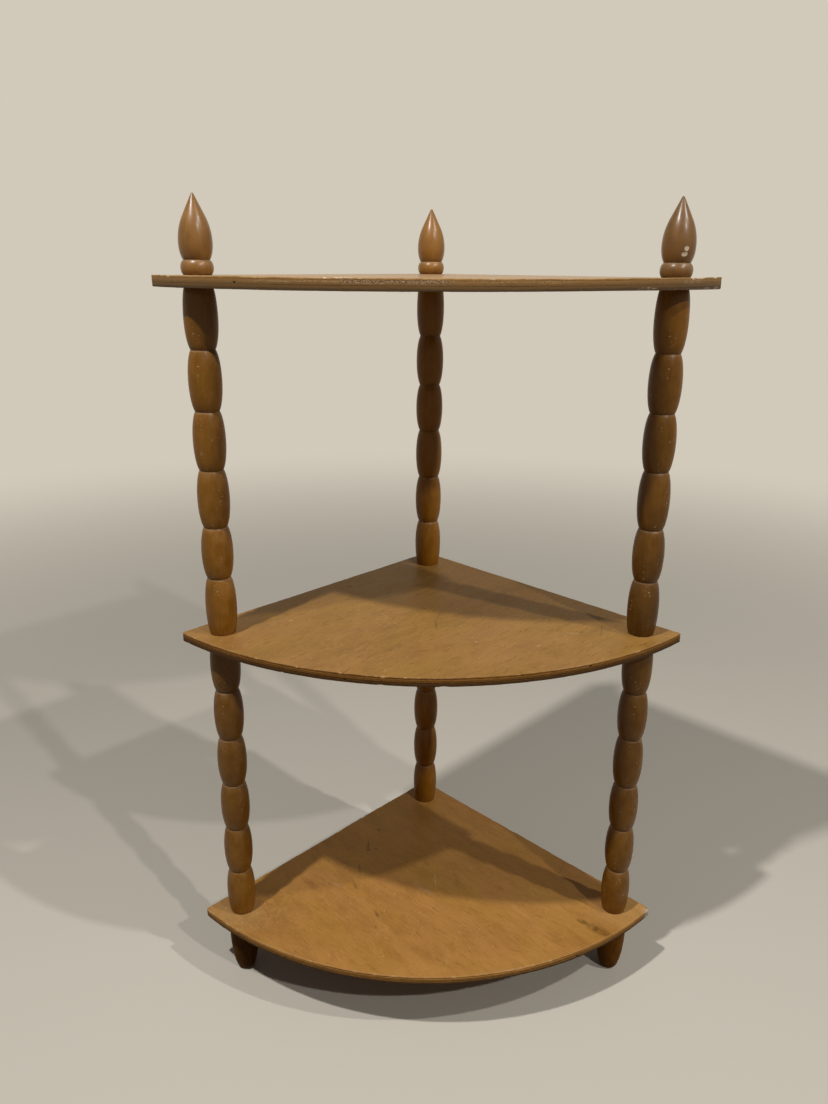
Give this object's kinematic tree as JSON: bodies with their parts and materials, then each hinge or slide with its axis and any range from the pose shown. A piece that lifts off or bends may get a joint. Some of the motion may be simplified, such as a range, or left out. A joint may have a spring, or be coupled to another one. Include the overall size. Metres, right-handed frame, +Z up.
{
  "type": "corner shelf",
  "caption": "Corner shelf stand with quarter-round shelves on bobbin-turned columns, flame finials above and tapered peg feet below.",
  "frame": {"origin": "on the floor, at the centre of the stand's bounding box seen from above", "axes": "+Z up; +Y towards the wall corner and the back column, so the curved fronts face -Y; +X to the right seen from the front"},
  "size_m": [0.3844, 0.2683, 0.6363],
  "materials": {
    "shelf_board": "satin stained plywood",
    "turned_wood": "satin lacquered, stained brown",
    "foot_wood": "satin, darker stain",
    "steel": "plain zinc"
  },
  "bodies": {
    "root": {"bottom_shelf": "shelf_board", "middle_shelf": "shelf_board", "top_shelf": "shelf_board", "foot_left": "foot_wood", "foot_right": "foot_wood", "foot_back": "foot_wood", "lower_spindle_left": "turned_wood", "lower_spindle_right": "turned_wood", "lower_spindle_back": "turned_wood", "upper_spindle_left": "turned_wood", "upper_spindle_right": "turned_wood", "upper_spindle_back": "turned_wood", "finial_left": "turned_wood", "finial_right": "turned_wood", "finial_back": "turned_wood", "bottom_stud_left": "steel", "bottom_stud_right": "steel", "bottom_stud_back": "steel", "middle_stud_left": "steel", "middle_stud_right": "steel", "middle_stud_back": "steel", "top_stud_left": "steel", "top_stud_right": "steel", "top_stud_back": "steel"}
  },
  "joints": []
}
